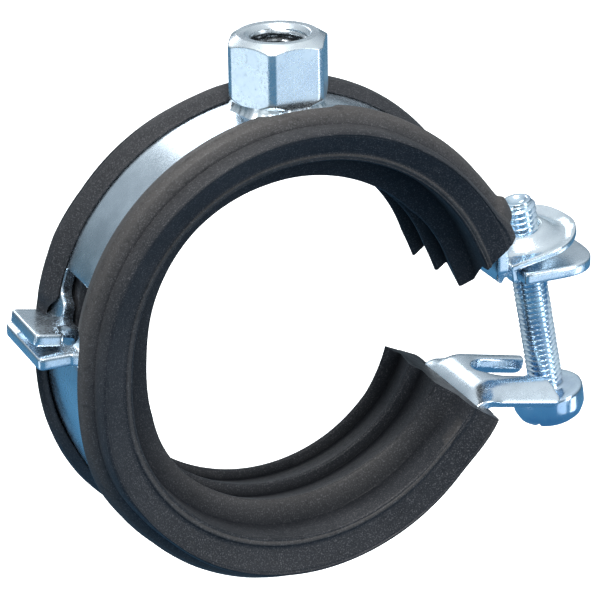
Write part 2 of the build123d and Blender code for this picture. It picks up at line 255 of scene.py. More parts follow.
class Track:
    """Middle line in the XZ plane: points by arc length, with the normal on the left of its direction."""

    def __init__(self, pts):
        pts = np.asarray(pts, float)
        d = np.linalg.norm(np.diff(pts, axis=0), axis=1)
        keep = np.concatenate([[True], d > 1e-6])
        self.p = pts[keep]
        d = np.linalg.norm(np.diff(self.p, axis=0), axis=1)
        self.s = np.concatenate([[0], np.cumsum(d)])
        t = np.gradient(self.p, self.s, axis=0)
        t /= np.linalg.norm(t, axis=1)[:, None]
        self.t = t
        self.len = self.s[-1]

    def at(self, s):
        s2 = min(max(s, 0), self.len)
        x = np.interp(s2, self.s, self.p[:, 0])
        z = np.interp(s2, self.s, self.p[:, 1])
        tx = np.interp(s2, self.s, self.t[:, 0])
        tz = np.interp(s2, self.s, self.t[:, 1])
        l = math.hypot(tx, tz)
        tx, tz = tx / l, tz / l
        x += (s - s2) * tx
        z += (s - s2) * tz
        return x, z, tx, tz


def fillet_line(pts, radii, step=0.15):
    """Open polyline with rounded corners, finely sampled."""
    out = [np.array(pts[0], float)]
    for i in range(1, len(pts) - 1):
        p, a, b = np.array(pts[i], float), np.array(pts[i - 1], float), np.array(pts[i + 1], float)
        u, v = (a - p) / np.linalg.norm(a - p), (b - p) / np.linalg.norm(b - p)
        ang = math.acos(float(np.clip(u @ v, -1, 1)))
        r = radii[i - 1]
        if r <= 0 or ang > math.radians(179):
            out.append(p)
            continue
        t = r / math.tan(ang / 2)
        bis = (u + v) / np.linalg.norm(u + v)
        cen = p + bis * r / math.sin(ang / 2)
        s, e = p + u * t - cen, p + v * t - cen
        a0, a1 = math.atan2(s[1], s[0]), math.atan2(e[1], e[0])
        while a1 - a0 > math.pi:
            a1 -= 2 * math.pi
        while a1 - a0 < -math.pi:
            a1 += 2 * math.pi
        n = max(4, int(abs(a1 - a0) * r / step))
        for k in range(n + 1):
            q = a0 + (a1 - a0) * k / n
            out.append(cen + r * np.array([math.cos(q), math.sin(q)]))
    out.append(np.array(pts[-1], float))
    return resample(np.array(out), step, closed=False)


# ------------------------------------------------------------------ materials
def nt_of(name):
    m = bpy.data.materials.new(name)
    m.use_nodes = True
    nt = m.node_tree
    nt.nodes.clear()
    out = nt.nodes.new("ShaderNodeOutputMaterial")
    b = nt.nodes.new("ShaderNodeBsdfPrincipled")
    nt.links.new(b.outputs[0], out.inputs[0])
    return m, nt, b


def nd(nt, kind, **kw):
    n = nt.nodes.new(kind)
    for k, v in kw.items():
        if k in n.inputs.keys():
            n.inputs[k].default_value = v
        else:
            setattr(n, k, v)
    return n


def coords(nt, scale=(1, 1, 1)):
    c = nt.nodes.new("ShaderNodeTexCoord")
    m = nt.nodes.new("ShaderNodeMapping")
    m.inputs["Scale"].default_value = scale
    nt.links.new(c.outputs["Object"], m.inputs[0])
    return m.outputs[0]


def ramp(nt, src, stops, interp="LINEAR"):
    r = nt.nodes.new("ShaderNodeValToRGB")
    r.color_ramp.interpolation = interp
    e = r.color_ramp.elements
    while len(e) < len(stops):
        e.new(0.5)
    for i, (p, c) in enumerate(stops):
        e[i].position = p
        e[i].color = (*c, 1) if hasattr(c, "__len__") else (c, c, c, 1)
    nt.links.new(src, r.inputs[0])
    return r.outputs[0]


def mix(nt, a, b, fac, mode="MIX"):
    m = nt.nodes.new("ShaderNodeMix")
    m.data_type = "RGBA"
    m.blend_type = mode
    for i, v in ((6, a), (7, b), (0, fac)):
        if hasattr(v, "is_output"):
            nt.links.new(v, m.inputs[i])
        else:
            m.inputs[i].default_value = v if i == 0 else (*v, 1)
    return m.outputs[2]


def zinc(name, base=(0.70, 0.78, 0.86), rough=(0.16, 0.34), grain=(60, 60, 900), bump=0.05, spangle=900, dark=(0.42, 0.50, 0.58)):
    """Bright blue-passivated zinc: soft cloudy tint, fine crystal speckle, drawn scratches, painted shade where a
    'shade' attribute is set.
    """
    m, nt, b = nt_of(name)
    b.inputs["Metallic"].default_value = 1.0
    co = coords(nt)
    cloud = nd(nt, "ShaderNodeTexNoise", Scale=140.0, Detail=4.0, Roughness=0.6)
    nt.links.new(co, cloud.inputs[0])
    fine = nd(nt, "ShaderNodeTexNoise", Scale=float(spangle) * 2.2, Detail=3.0, Roughness=0.7)
    nt.links.new(co, fine.inputs[0])
    cells = nd(nt, "ShaderNodeTexVoronoi", Scale=float(spangle) * 1.6, feature="F1")
    nt.links.new(co, cells.inputs[0])
    scr = nd(nt, "ShaderNodeTexNoise", Scale=1.0, Detail=3.0, Roughness=0.65)
    nt.links.new(coords(nt, grain), scr.inputs[0])
    c1 = mix(nt, base, tuple(min(1, x * 1.18 + 0.03) for x in base), ramp(nt, cloud.outputs[0], [(0.35, 0), (0.65, 1)]))
    c2 = mix(nt, c1, dark, ramp(nt, fine.outputs[0], [(0.60, 0.0), (0.74, 0.55)]))
    # painted shade: colour pulled to near black where the 'shade' attribute is set
    shade = nd(nt, "ShaderNodeAttribute", attribute_name="shade", attribute_type="GEOMETRY")
    c3 = mix(nt, c2, tuple(0.12 * x for x in base), shade.outputs["Fac"])
    nt.links.new(c3, b.inputs["Base Color"])
    r0 = ramp(nt, cloud.outputs[0], [(0.3, rough[0]), (0.7, rough[1])])
    r1 = mix(nt, r0, (min(1, rough[1] * 1.5),) * 3, ramp(nt, fine.outputs[0], [(0.5, 0.0), (0.75, 0.7)]))
    nt.links.new(r1, b.inputs["Roughness"])
    h = mix(nt, fine.outputs[0], cells.outputs["Distance"], 0.35)
    h2 = mix(nt, h, scr.outputs[0], 0.4)
    bp = nd(nt, "ShaderNodeBump", Strength=bump * 4, Distance=0.00006)
    nt.links.new(h2, bp.inputs["Height"])
    nt.links.new(bp.outputs[0], b.inputs["Normal"])
    return m


def rubber(name):
    """Extruded EPDM: charcoal, fine light specks, faint lines along the extrusion, painted highlight on the outer
    shoulder, the lip bead and the lower rib crests, painted shade in the grooves and on the back flange.
    """
    m, nt, b = nt_of(name)
    co = coords(nt)
    big = nd(nt, "ShaderNodeTexNoise", Scale=60.0, Detail=4.0, Roughness=0.6)
    nt.links.new(co, big.inputs[0])
    fine = nd(nt, "ShaderNodeTexNoise", Scale=4300.0, Detail=2.0, Roughness=0.6)
    nt.links.new(co, fine.inputs[0])
    mid = nd(nt, "ShaderNodeTexNoise", Scale=900.0, Detail=3.0, Roughness=0.65)
    nt.links.new(co, mid.inputs[0])
    pits = nd(nt, "ShaderNodeTexVoronoi", Scale=1500.0, feature="F1")
    nt.links.new(co, pits.inputs[0])
    at = nd(nt, "ShaderNodeAttribute", attribute_name="along", attribute_type="GEOMETRY")
    sep = nt.nodes.new("ShaderNodeCombineXYZ")
    at2 = nd(nt, "ShaderNodeAttribute", attribute_name="around", attribute_type="GEOMETRY")
    nt.links.new(at.outputs["Fac"], sep.inputs[0])
    nt.links.new(at2.outputs["Fac"], sep.inputs[1])
    ln = nd(nt, "ShaderNodeTexNoise", Scale=1.0, Detail=4.0, Roughness=0.7)
    mp = nt.nodes.new("ShaderNodeMapping")
    mp.inputs["Scale"].default_value = (0.06, 3.2, 1)
    nt.links.new(sep.outputs[0], mp.inputs[0])
    nt.links.new(mp.outputs[0], ln.inputs[0])
    painted_highlight = nd(nt, "ShaderNodeAttribute", attribute_name="painted_highlight", attribute_type="GEOMETRY")
    c0 = mix(nt, (0.009, 0.011, 0.015), (0.024, 0.026, 0.031), ramp(nt, big.outputs[0], [(0.3, 0), (0.7, 1)]))
    # painted highlight: paler warm grey where this attribute is set (outer shoulder, lip bead, crests of the lower
    # ribs)
    c1 = mix(nt, c0, (0.078, 0.072, 0.068), painted_highlight.outputs["Fac"])
    c2 = mix(nt, c1, (0.15, 0.15, 0.16), ramp(nt, fine.outputs[0], [(0.53, 0.0), (0.74, 0.62)]))
    c3 = mix(nt, c2, (0.003, 0.004, 0.005), ramp(nt, mid.outputs[0], [(0.30, 0.40), (0.46, 0.0)]))
    c4 = mix(nt, c3, (0.062, 0.060, 0.058), ramp(nt, ln.outputs[0], [(0.60, 0.0), (0.80, 0.28)]))
    painted_shade = nd(nt, "ShaderNodeAttribute", attribute_name="painted_shade", attribute_type="GEOMETRY")
    # painted shade: near black where this attribute is set (rib grooves, groove inside the lip, outer face of the back
    # flange)
    c5 = mix(nt, c4, (0.003, 0.004, 0.006), painted_shade.outputs["Fac"])
    nt.links.new(c5, b.inputs["Base Color"])
    r = ramp(nt, mid.outputs[0], [(0.3, 0.42), (0.7, 0.62)])
    nt.links.new(r, b.inputs["Roughness"])
    # painted shade also lowers the specular there
    nt.links.new(mix(nt, (0.27, 0.27, 0.27), (0.05, 0.05, 0.05), painted_shade.outputs["Fac"]), b.inputs["Specular IOR Level"])
    b.inputs["Sheen Weight"].default_value = 0.02
    b.inputs["Sheen Roughness"].default_value = 0.5
    h = mix(nt, mid.outputs[0], fine.outputs[0], 0.5)
    h2 = mix(nt, h, ln.outputs[0], 0.30)
    h3 = mix(nt, h2, pits.outputs["Distance"], 0.2)
    bp = nd(nt, "ShaderNodeBump", Strength=0.38, Distance=0.00012)
    nt.links.new(h3, bp.inputs["Height"])
    nt.links.new(bp.outputs[0], b.inputs["Normal"])
    return m


M_band = zinc("zinc_band", base=(0.66, 0.75, 0.83), rough=(0.17, 0.30), bump=0.045)
M_ear = zinc("zinc_pressed", base=(0.68, 0.77, 0.85), rough=(0.14, 0.27), bump=0.05, spangle=700)
M_nut = zinc("zinc_hexagon", base=(0.72, 0.79, 0.86), rough=(0.20, 0.32), grain=(30, 30, 500), bump=0.03)
M_screw = zinc("zinc_screw", base=(0.60, 0.74, 0.90), rough=(0.12, 0.24), bump=0.03, spangle=1200, dark=(0.30, 0.42, 0.56))
M_rubber = rubber("epdm_rubber")


# ------------------------------------------------------------------ shared dimensions (mm)
seat_r, strip_t = 27.75, 2.0
UR, LDR = 36.3, 0.8
LC = (-1.25, -3.4)
LR = UR - LDR
hinge = (-38.6, 4.6)

# ------------------------------------------------------------------ upper strip
hook_z, hook_end, hook_bend = 3.55, -44.6, 2.4
ear_z, ear_end, ear_bend, ear_start = 3.5, 55.4, 2.0, math.radians(14)
hcz = hook_z + hook_bend
hcx = -math.sqrt((UR + hook_bend) ** 2 - hcz ** 2)
ha = math.atan2(hcz, hcx)
etop = (UR * math.cos(ear_start), UR * math.sin(ear_start))
pts = [(hook_end, hook_z), (hcx, hook_z)]
for a in np.linspace(-math.pi / 2, ha - math.pi, 24)[1:]:
    pts.append((hcx + hook_bend * math.cos(a), hcz + hook_bend * math.sin(a)))
for a in np.linspace(ha, ear_start + 0.03, 500)[1:]:
    pts.append((UR * math.cos(a), UR * math.sin(a)))
ec = (etop[0] + ear_bend, ear_z + ear_bend)
pts.append((etop[0] + 0.05, etop[1] - 0.9))
for a in np.linspace(math.pi, 1.5 * math.pi, 26):
    pts.append((ec[0] + ear_bend * math.cos(a), ec[1] + ear_bend * math.sin(a)))
pts.append((ear_end, ear_z))
up = Track(resample(np.array(pts), 0.12, closed=False))


def s_of(track, f):
    """Arc length where f(x, z) first turns true."""
    for s, p in zip(track.s, track.p):
        if f(p[0], p[1]):
            return float(s)
    return track.len


s_hook = s_of(up, lambda x, z: x > -38.4)
s_wtop = s_of(up, lambda x, z: z > 12.9 and x < 0)
s_w0 = s_of(up, lambda x, z: x > -38.75)
s_bump = s_of(up, lambda x, z: z > 7.4)
s_b2 = s_of(up, lambda x, z: z > 9.0)
s_b3 = s_of(up, lambda x, z: z > 10.1)
s_ear = s_of(up, lambda x, z: x > 37.2 and z < 4)
s_earx = lambda x: up.len - (ear_end - x)
W = 10.0
right_round = [(up.len - 9.9 + 9.2 * math.cos(t) ** 0.72, 9.8 * math.copysign(abs(math.sin(t)) ** 0.72, t)) for t in np.linspace(-math.pi / 2 + 1e-6, math.pi / 2 - 1e-6, 40)]
side = [
    (0, -8.3), (s_hook - 0.9, -8.3), (s_hook + 0.5, -W), (s_ear - 3.4, -W), (s_ear - 1.2, -8.6), (s_earx(37.4), -5.35), (s_earx(39.5), -5.3), (s_earx(39.55), -9.8),
]
outer = round_poly(side + right_round + [(s, -y) for s, y in reversed(side)],
                   [1.0, 0.6, 0.8, 1.5, 1.6, 0.7, 0.35, 0.7] + [0] * 40 + [0.7, 0.35, 0.7, 1.6, 1.5, 0.8, 0.6, 1.0], 6)
wy = 5.35
window = round_poly([(s_w0, -4.6), (s_bump - 0.9, -4.7), (s_bump, -4.8), (s_bump + 0.7, -4.9), (s_b2, -5.2), (s_b3, -wy), (s_wtop, -wy),
                     (s_wtop, wy), (s_b3, wy), (s_b2, 4.9), (s_bump + 0.7, 3.2), (s_bump, 2.75), (s_bump - 0.9, 2.95), (s_w0, 2.95)],
                    [0.8, 0.8, 0.8, 0.9, 1.2, 1.2, 0.25, 0.25, 1.2, 1.2, 0.9, 0.8, 0.8, 0.8], 5)
sh = s_earx(44.9)
hole = np.concatenate([[(sh + 0.8 + 4.2 * math.cos(t), 4.2 * math.sin(t)) for t in np.linspace(-math.pi / 2, math.pi / 2, 24)],
                       [(sh - 0.8 + 4.2 * math.cos(t), 4.2 * math.sin(t)) for t in np.linspace(math.pi / 2, 1.5 * math.pi, 24)]])


def map_up(s, y, w):
    x, z, tx, tz = up.at(s)
    # left normal of the line: outward on the arc, up on the flats
    return (x - tz * w, y, z + tx * w)


def flipped(fn, t):
    return lambda s, y, w: fn(s, y, w)


v, f = plate(outer, [window, hole], map_up, strip_t, edge=0.32, step=0.85)
ob_upper = make("upper_strip", v, f, M_band, angle=50)
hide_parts("upper_band")
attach(ob_upper, "upper_half")

# ------------------------------------------------------------------ lower strip
fq, fsl, fb = np.array([34.3, -15.8]), math.radians(12), 5.0
fd = np.array([math.cos(fsl), -math.sin(fsl)])
fn = np.array([math.sin(fsl), math.cos(fsl)])
q0 = fq - fb * fn
bv = q0 - np.array(LC)
bb = float(bv @ fd)
tf = -bb + math.sqrt(bb * bb - (float(bv @ bv) - (LR + fb) ** 2))
fc = q0 + tf * fd
fa = math.atan2(fc[1] - LC[1], fc[0] - LC[0])
fs = fc + fb * fn
ht = math.radians(10)
na = math.pi - math.asin((2.3 - LC[1]) / LR)
nb_ = np.array([LC[0] + LR * math.cos(na), LC[1] + LR * math.sin(na)])
ndir = np.array([math.sin(na), -math.cos(na)])
hd = np.array([-math.cos(ht), math.sin(ht)])
hn = np.array([-math.sin(ht), -math.cos(ht)])
hp = np.array(hinge) - (strip_t / 2 + 0.15) * hn
den = ndir[0] * hd[1] - ndir[1] * hd[0]
tt = ((hp[0] - nb_[0]) * hd[1] - (hp[1] - nb_[1]) * hd[0]) / den
cn = nb_ + tt * ndir
hend = cn + 8.7 * hd
line = list(fillet_line([hend, cn, nb_], [1.35], 0.12))
for a in np.linspace(na, fa + 2 * math.pi, 700)[1:]:
    line.append((LC[0] + LR * math.cos(a), LC[1] + LR * math.sin(a)))
a0 = fa + math.pi
for a in np.linspace(a0, math.pi / 2 - fsl, 40)[1:]:
    line.append((fc[0] + fb * math.cos(a), fc[1] + fb * math.sin(a)))
line.append(tuple(fq + fd * 15.0))
lo = Track(resample(np.array(line), 0.12, closed=False))
s_fork = lo.len - 15.0            # arc length at fork_q
s_bend0 = s_of(lo, lambda x, z: x > 30 and math.hypot(x - fc[0], z - fc[1]) < fb + 0.02)
s_neck = s_of(lo, lambda x, z: x > -39.6)
s_neck1 = s_of(lo, lambda x, z: z < 1.6 and x > -37.5)


def map_lo(s, y, w):
    # the strip's sides fold down towards the fork
    x, z, tx, tz = lo.at(s)
    # direction hinge to fork, counterclockwise below: left normal is inward, so take the right one, outward / towards the head
    nx, nz = tz, -tx
    beta = math.radians(46) * float(smooth(s_bend0 + 0.5, s_fork + 2.0, s))
    yf = 6.2
    if beta > 1e-4:
        rho = 1.7
        L = rho * beta
        u = abs(y) - (yf - L / 2)
        ww = -w  # w>0 is the outside of the clamp, which is the underside at the fork
        if u > 0:
            if u < L:
                a = u / rho
                yy = yf - L / 2 + rho * math.sin(a) + ww * math.sin(a)
                dz = -(rho - rho * math.cos(a)) + ww * math.cos(a)
            else:
                yy = yf - L / 2 + rho * math.sin(beta) + (u - L) * math.cos(beta) + ww * math.sin(beta)
                dz = -(rho - rho * math.cos(beta)) - (u - L) * math.sin(beta) + ww * math.cos(beta)
            y2 = math.copysign(yy, y)
            return (x - nx * dz, y2, z - nz * dz)
    return (x + nx * w, y, z + nz * w)


fl = s_fork + 11.2
hw = 6.0
head = [(0.0, -hw), (s_neck, -hw), (s_neck + 0.05, -2.5), (s_neck1, -2.5), (s_neck1 + 2.6, -W), (s_bend0 + 1.0, -W), (s_fork + 1.2, -9.9), (fl + 1.9, -9.7), (fl + 0.3, -6.4), (fl - 0.5, -3.95)]
slot_c = s_fork + 4.6
slot_arc = [(slot_c + 3.9 * math.cos(t), 3.9 * math.sin(t)) for t in np.linspace(-math.pi / 2, -1.5 * math.pi, 28)]
head[7:] = [(s + 0.8, y) for s, y in head[7:]]
far = [(s + (1.2 if i >= 7 else 0), -y) for i, (s, y) in enumerate(head)]
lower_outer = round_poly(head + slot_arc + far[::-1],
                         [0.9, 0.7, 0.8, 1.8, 2.2, 4, 2, 1.4, 1.4, 0.5] + [0] * 28 + [0.5, 1.4, 1.4, 2, 4, 2.2, 1.8, 0.8, 0.7, 0.9], 6)
v, f = plate(lower_outer, [], map_lo, strip_t, edge=0.34, step=0.8)
ob_lower = make("lower_strip", v, f, M_band, angle=50)
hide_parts("lower_band")
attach(ob_lower, "lower_half")

# ------------------------------------------------------------------ connection boss
def softmin(vals, k=0.12):
    vals = [np.asarray(q, float) for q in vals]
    m = vals[0]
    for q in vals[1:]:
        hh = np.clip(0.5 + 0.5 * (q - m) / k, 0, 1)
        m = q * (1 - hh) + m * hh - k * hh * (1 - hh)
    return m


NT = 432
th = np.linspace(0, 2 * np.pi, NT, endpoint=False)
z0b, z1b = 38.45, 48.8
zz = np.concatenate([np.linspace(z0b, z0b + 1.2, 9), np.linspace(z0b + 1.6, z1b - 1.9, 12), np.linspace(z1b - 1.8, z1b, 22)])
T, Z = np.meshgrid(th, zz)
# flats face +Y and -Y
ph = (T - math.pi / 2) % (math.pi / 3)
ph = np.minimum(ph, math.pi / 3 - ph)
hexr = 7.5 / np.cos(ph)
rc = 8.36 + 0 * T
top = 6.5 + (z1b - Z) / math.tan(math.radians(33))
bot = 7.75 + (Z - z0b) / math.tan(math.radians(50))
R = softmin([softmin([hexr, rc], 0.10), softmin([top, bot], 0.05)], 0.16)
rows_ = [np.stack([R[i] * np.cos(th), R[i] * np.sin(th), Z[i]], -1) for i in range(len(zz))]


def ring(r, z):
    z = z + 0 * th
    r = r + 0 * th
    return np.stack([r * np.cos(th), r * np.sin(th), z], -1)


# top face in to the mouth, countersink, then the internal thread
top_r = R[-1]
for k in (0.35, 0.75):
    rows_.append(ring(top_r + (5.25 - top_r) * k, z1b + 0.0))
rows_.append(ring(5.32, z1b + 0.0))
rows_.append(ring(5.18, z1b - 0.06))
for z in np.linspace(z1b - 0.12, z1b - 0.75, 5):
    rows_.append(ring(5.12 - (z1b - 0.12 - z) * 0.9, z))


def thread(z, a, pitch, r_in, r_out, flat=0.16):
    """V thread as a radius; r_in to r_out."""
    p = ((z / pitch - a / (2 * np.pi)) % 1.0)
    tri = np.abs(p - 0.5) * 2
    tri = np.clip((tri - flat) / (1 - 2 * flat), 0, 1)
    return r_in + (r_out - r_in) * tri


depth = 9.2
for z in np.arange(z1b - 0.78, z1b - depth, -0.125):
    fade = float(smooth(z1b - depth, z1b - depth + 1.2, z))
    lead = float(smooth(z1b - 0.78, z1b - 1.6, z))
    r = thread(z, th, 1.5, 4.25, 4.98)
    r = 4.27 + (r - 4.27) * fade
    r = np.maximum(r, 4.55 * (1 - lead) + 4.25 * lead)
    rows_.append(ring(r, z))
rows_.append(ring(3.9, z1b - depth - 0.12))
rows_.append(ring(2.0, z1b - depth - 0.14))
rows_.append(ring(0.0, z1b - depth - 0.14))
# underside: from the hexagon in to the weld foot, down into the strip's surface
low = [ring(7.0, z0b + 0.02)]
n_foot = 14
foot = []
wob = 0.18 * np.sin(5 * th + 1.0) + 0.14 * np.sin(9 * th + 0.3) + 0.10 * np.sin(17 * th + 2.0) + 0.06 * np.sin(31 * th)
for k in range(n_foot):
    u = k / (n_foot - 1)
    r = 6.7 + 0.55 * u + wob * (0.3 + 0.7 * u) + 0.35 * u ** 3
    x, y = r * np.cos(th), r * np.sin(th)
    zs = np.sqrt(np.maximum((UR + 1.0) ** 2 - x ** 2, 0))
    z = z0b + 0.02 + (zs - 0.04 - z0b - 0.02) * (u ** 0.8)
    foot.append(np.stack([x, y, z], -1))
r = 6.2 + 0 * th
x, y = r * np.cos(th), r * np.sin(th)
foot.append(np.stack([x, y, np.sqrt((UR + 1.0) ** 2 - x ** 2) - 0.6], -1))
foot.append(ring(0.0, UR + 0.2))
seq = list(reversed([*low, *foot])) + rows_
V = np.concatenate(seq)
F = grid_faces(len(seq), NT, close_m=True)
ob_boss = make("boss", V, F, M_nut, angle=32)
co = np.array([v.co for v in ob_boss.data.vertices]) / MM
# painted shade: the thread bore and its bottom are painted dark, darker further down from the mouth
sh = (np.hypot(co[:, 0], co[:, 1]) < 5.15) * smooth(z1b - 0.1, z1b - 2.2, co[:, 2]) * (co[:, 2] > z1b - depth - 1.3) * 0.8
a = ob_boss.data.attributes.new("shade", "FLOAT", "POINT")
a.data.foreach_set("value", sh.astype(np.float32))
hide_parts("connection_boss")
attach(ob_boss, "upper_half")

# ------------------------------------------------------------------ locking screw
nt_ = math.radians(10.25)
NP = np.array([38.8, 4.5])
su = 5.6
ax = np.array([-math.sin(nt_), 0, math.cos(nt_)])
ux = np.array([math.cos(nt_), 0, math.sin(nt_)])
so = np.array([NP[0] + su * math.cos(nt_), 0, NP[1] + su * math.sin(nt_)])
tip, seat, hr, hh_ = 8.6, 27.1, 6.19, 6.5


def on_axis(r, a, h):
    """Point at radius r, angle a, height h along the screw."""
    a = np.asarray(a, float)
    r = r + 0 * a
    h = h + 0 * a
    return so + r[..., None] * (np.cos(a)[..., None] * ux + np.sin(a)[..., None] * np.array([0, 1.0, 0])) + h[..., None] * ax


NS = 96
ts = np.linspace(0, 2 * np.pi, NS, endpoint=False)
rows_ = [on_axis(0.0, ts, tip - 0.75), on_axis(0.9, ts, tip - 0.62), on_axis(1.35, ts, tip - 0.35), on_axis(1.6, ts, tip - 0.08), on_axis(1.75, ts, tip), on_axis(2.1, ts, tip), on_axis(2.3, ts, tip - 0.05)]
for h in np.arange(tip - 0.1, -seat + 0.9, -0.0625):
    lead = float(smooth(tip - 0.1, tip - 1.3, h))
    run = float(smooth(-seat + 0.9, -seat + 1.6, h))
    r = thread(h, ts, 1.0, 2.995, 2.40, flat=0.10)
    r = np.minimum(r, 2.35 + 0.66 * lead)
    r = 2.62 + (r - 2.62) * run
    rows_.append(on_axis(r, ts, h))
prof = [(2.66, -seat + 0.5), (2.85, -seat + 0.12), (3.2, -seat), (4.6, -seat), (5.5, -seat), (5.8, -seat - 0.06), (6.05, -seat - 0.25), (6.15, -seat - 0.5), (hr, -seat - 0.8), (hr, -seat - 1.6), (6.17, -seat - 2.5), (6.13, -seat - 3.0), (6.08, -seat - 3.5),
        (5.82, -seat - 4.2), (5.4, -seat - 5.0), (4.6, -seat - 5.6), (3.6, -seat - 6.02), (2.5, -seat - 6.3), (1.2, -seat - 6.45), (0.0, -seat - hh_)]
for r, h in prof:
    rows_.append(on_axis(r, ts, h))
V = np.concatenate(rows_)
F = grid_faces(len(rows_), NS, close_m=True)
ob_screw = make("screw", V, F, M_screw, angle=45)


def cutter(name, size, centre, ang, axis=ax, u=ux, taper=0.0):
    """Box across the screw head, size along the slot, width, depth."""
    L, Wd, D = size
    a = math.radians(ang)
    e1 = math.cos(a) * u + math.sin(a) * np.array([0, 1.0, 0])
    e2 = -math.sin(a) * u + math.cos(a) * np.array([0, 1.0, 0])
    vv = []
    for sz in (-1, 1):
        for sx, sy in ((-1, -1), (1, -1), (1, 1), (-1, 1)):
            k = 1.0 if sz < 0 else 1 - taper
            vv.append(centre + e1 * sx * L / 2 + e2 * sy * Wd / 2 * k + axis * sz * D / 2)
    me = bpy.data.meshes.new(name)
    me.from_pydata([tuple(map(float, q)) for q in np.array(vv) * MM], [], [(0, 3, 2, 1), (4, 5, 6, 7), (0, 1, 5, 4), (1, 2, 6, 5), (2, 3, 7, 6), (3, 0, 4, 7)])
    o = bpy.data.objects.new(name, me)
    bpy.context.scene.collection.objects.link(o)
    return o


def cut(ob, cutters):
    for c in cutters:
        md = ob.modifiers.new("cut", "BOOLEAN")
        md.operation = "DIFFERENCE"
        md.solver = "EXACT"
        md.object = c
        dg = bpy.context.evaluated_depsgraph_get()
        me = bpy.data.meshes.new_from_object(ob.evaluated_get(dg))
        ob.modifiers.clear()
        old = ob.data
        ob.data = me
        bpy.data.meshes.remove(old)
        bpy.data.objects.remove(c)


end = so - ax * (seat + hh_)
cut(ob_screw, [cutter("slot_a", (14, 1.5, 4.4), end, 35), cutter("slot_b", (6.8, 1.5, 5.4), end, 125, taper=0.25)])
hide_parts("locking_screw")
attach(ob_screw, "screw")

# ------------------------------------------------------------------ nut plate
nu0, nu1, nh, ntk, ngap = -1.1, 14.8, 8.3, 1.2, 0.25
npts = [(nu0, -5.75), (nu0 - 0.0, -nh + 0.0)]
arc = [(nu1 - 8.1 + 8.1 * math.cos(t), 8.1 * math.sin(t)) for t in np.linspace(-math.pi / 2, math.pi / 2, 44)]
leg = 3.6
pat = [(nu0 + 1.0, -5.9), (nu0 + 1.0, -nh)]
outline = [(nu0, -nh)] + [(nu0 + 1.0, -nh)] + arc + [(nu0 + 1.0, nh), (nu0, nh)]
outline = round_poly(outline, [0.5, 0] + [0] * 44 + [0, 0.5], 4)
hole_n = circle(su, 0, 3.28, 72)
rings = []
for rr_ in (3.6, 3.95, 4.35, 4.8, 5.3, 5.9, 6.6, 7.3):
    rings += [tuple(q) for q in circle(su, 0, rr_, int(16 + rr_ * 9))]


def map_nut(u, y, w):
    rho = math.hypot(u - su, y)
    # drawn collar: the sheet rises to a lip round the thread
    k = float(smooth(7.4, 3.5, rho))
    rise = 2.35 * k ** 1.25
    slope = 0.0
    d = 0.05
    if 3.2 < rho < 7.4:
        k2 = float(smooth(7.4, 3.5, rho + d))
        slope = (2.35 * k2 ** 1.25 - rise) / d
    nl = math.hypot(1, slope)
    # thickness follows the slope
    ex, ez = -slope / nl * w, w / nl
    thin = 1 - 0.25 * k
    dirx = (u - su) / max(rho, 1e-6)
    diry = y / max(rho, 1e-6)
    dish = 0.9 * float(smooth(9.0, 15.5, u)) ** 1.2 + 2.6 * max(0.0, (y - 0.5) / 7.8) ** 1.5
    un = u + dirx * ex * thin
    yn = y + diry * ex * thin
    hn_ = ngap + ntk / 2 + rise + ez * thin + dish
    p = np.array([NP[0], 0, NP[1]]) + ux * un + np.array([0, 1.0, 0]) * yn + ax * hn_
    return tuple(p)


v, f = plate(outline, [hole_n], map_nut, ntk, edge=0.25, step=0.7, points=rings)
verts, faces = [v], list(f)
k = len(v)
# threaded bore inside the collar
NB = 72
tb = np.linspace(0, 2 * np.pi, NB, endpoint=False)
rows_b = []
for h in np.arange(ngap + 0.05, ngap + ntk + 2.3, 0.1):
    rows_b.append(on_axis(thread(h, tb, 1.0, 3.06, 3.3, flat=0.1), tb, h))
for h in (ngap + ntk + 2.2, ngap + 0.1):
    rows_b.append(on_axis(3.42, tb, h))
fb_ = grid_faces(len(rows_b), NB, close_n=True, close_m=True, base=k)
verts.append(np.concatenate(rows_b))
faces += fb_
k += len(rows_b) * NB
# legs beside the neck: rounded bars down from the inner end
for sgn in (-1, 1):
    sec = round_poly([(nu0, 5.85), (nu0 + 1.0, 5.85), (nu0 + 1.0, nh - 0.02), (nu0, nh - 0.02)], 0.25, 4)
    hs = [ngap + 0.6, ngap, -0.3, -0.7, -1.1, -1.5, -1.72, -1.8]
    rr_ = [0, 0, 0, 0, 0, 0.0, 0.12, 0.3]
    rows_l = []
    for h, dd in zip(hs, rr_):
        q = sec if dd == 0 else inset(sec if area2(sec) > 0 else sec[::-1], dd)
        rows_l.append(np.array([np.array([NP[0], 0, NP[1]]) + ux * a + np.array([0, 1.0, 0]) * b * sgn + ax * h for a, b in q]))
    n = len(rows_l[0])
    verts.append(np.concatenate(rows_l))
    faces += grid_faces(len(rows_l), n, close_m=True, base=k)
    faces.append(tuple(range(k, k + n)))
    faces.append(tuple(range(k + (len(rows_l) - 1) * n, k + len(rows_l) * n)))
    k += len(rows_l) * n
ob_np = make("swivel_nut", np.concatenate(verts), faces, M_ear, angle=45, merge=0.0005)
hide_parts("nut_plate")
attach(ob_np, "nut_swivel")

# ------------------------------------------------------------------ lining
web_r, lip_in, side_y = 35.25, 37.35, 10.05


